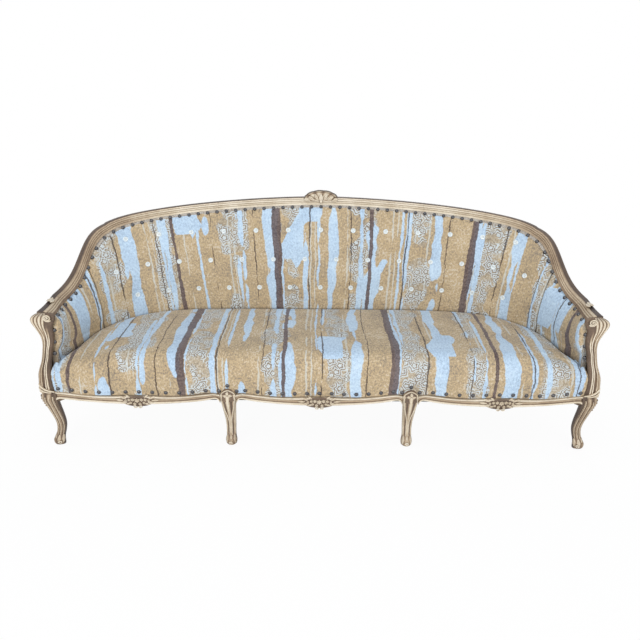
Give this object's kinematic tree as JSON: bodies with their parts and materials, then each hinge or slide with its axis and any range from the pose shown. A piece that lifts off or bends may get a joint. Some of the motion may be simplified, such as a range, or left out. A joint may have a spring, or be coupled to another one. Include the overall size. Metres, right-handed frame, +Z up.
{
  "type": "cabriole sofa",
  "caption": "Long carved show-wood sofa whose back sweeps down into scrolled arms, with a tufted inside back, a sprung seat and cabriole legs.",
  "frame": {"origin": "on the floor, under the middle of the sofa's bounding box", "axes": "+X to the right when the sofa is seen from the front, -Y to the front, +Z up"},
  "size_m": [2.286, 0.6846, 0.9774],
  "materials": {
    "show_wood": "carved wood with a worn cream and brown antique glaze",
    "frame_wood": "plain stained hardwood",
    "glide_steel": "plain steel glides",
    "spring_steel": "copper-washed spring wire",
    "canvas": "coarse jute webbing, canvas and stuffing",
    "cover_cloth": "woven cotton with upright irregular stripes in gold, grey, pale blue and brown",
    "dust_cloth": "thin black cambric",
    "nail_metal": "dark antiqued dome nails",
    "pearl_button": "pearly white"
  },
  "bodies": {
    "root": {"crest_rail": "show_wood", "shoulder_rail_left": "show_wood", "shoulder_rail_right": "show_wood", "arm_rail_left": "show_wood", "arm_rail_right": "show_wood", "arm_post_left": "show_wood", "arm_post_right": "show_wood", "front_leg_outer_left": "show_wood", "front_leg_inner_left": "show_wood", "front_leg_inner_right": "show_wood", "front_leg_outer_right": "show_wood", "rear_leg_outer_left": "frame_wood", "rear_leg_inner_left": "frame_wood", "rear_leg_inner_right": "frame_wood", "rear_leg_outer_right": "frame_wood", "front_rail_left": "show_wood", "front_rail_centre": "show_wood", "front_rail_right": "show_wood", "side_seat_rail_left": "show_wood", "side_seat_rail_right": "show_wood", "rear_seat_rail_left": "frame_wood", "rear_seat_rail_centre": "frame_wood", "rear_seat_rail_right": "frame_wood", "stretcher_left": "frame_wood", "stretcher_right": "frame_wood", "corner_blocks": "frame_wood", "foot_glides": "glide_steel", "seat_webbing": "canvas", "seat_springs": "spring_steel", "spring_hessian": "canvas", "front_edge_roll": "canvas", "seat_stuffing": "canvas", "seat_cover": "cover_cloth", "back_webbing": "canvas", "inside_back_pad": "cover_cloth", "inside_arm_pad_left": "cover_cloth", "inside_arm_pad_right": "cover_cloth", "outside_back_cover": "cover_cloth", "outside_arm_cover_left": "cover_cloth", "outside_arm_cover_right": "cover_cloth", "dust_cover": "dust_cloth", "seat_nails": "nail_metal", "back_nails": "nail_metal", "tuft_buttons": "pearl_button"}
  },
  "joints": []
}
